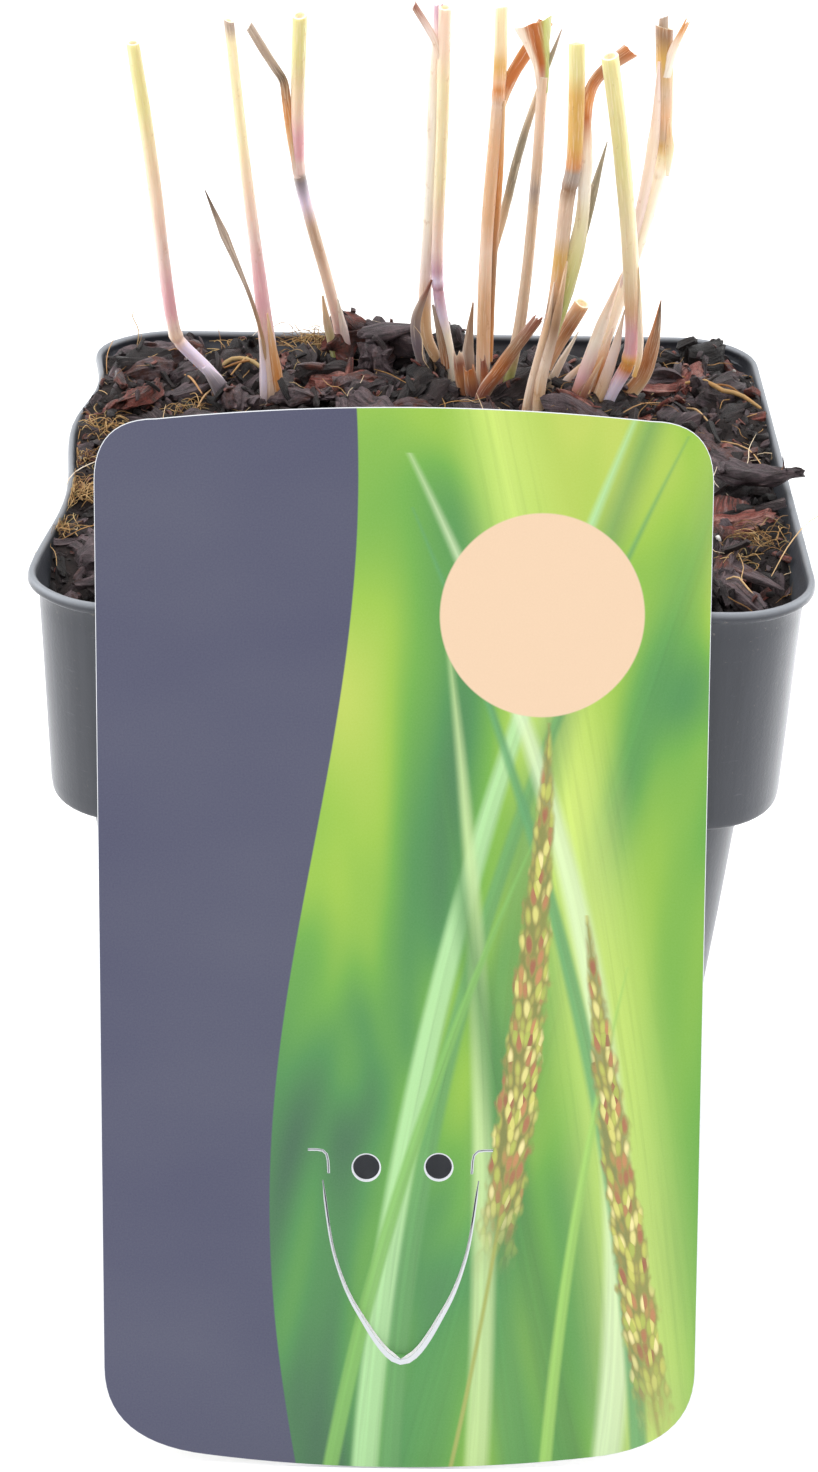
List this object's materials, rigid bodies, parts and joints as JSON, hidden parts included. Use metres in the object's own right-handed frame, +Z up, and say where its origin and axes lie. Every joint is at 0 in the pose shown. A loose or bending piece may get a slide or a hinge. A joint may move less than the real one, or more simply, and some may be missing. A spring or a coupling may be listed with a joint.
{
  "type": "potted switchgrass",
  "caption": "Cut-back clump of switchgrass stems with dry sheaths in a square plastic nursery pot topped with bark mulch, a plain-print care card leaning on the rim.",
  "frame": {"origin": "middle of the pot's underside, on the surface that it stands on", "axes": "+Z up along the stems, -Y towards the care card, which is the front, +X to the right seen from the front"},
  "size_m": [0.0904, 0.1232, 0.1465],
  "materials": {
    "pot_plastic": "satin moulded plastic",
    "bark_mulch": "rough damp bark",
    "culm": "smooth straw, faintly waxy",
    "dry_leaf": "dry fibrous blade",
    "printed_card": "printed plastic-coated card, soft sheen"
  },
  "bodies": {
    "root": {"pot": "pot_plastic", "soil": "bark_mulch", "stem_1": "culm", "stem_2": "culm", "stem_3": "culm", "stem_4": "culm", "stem_5": "culm", "stem_6": "culm", "stem_7": "culm", "stem_8": "culm", "stem_9": "culm", "stem_stub": "culm", "dry_leaf_right": "dry_leaf", "dry_leaf_middle": "dry_leaf", "label": "printed_card"}
  },
  "joints": []
}
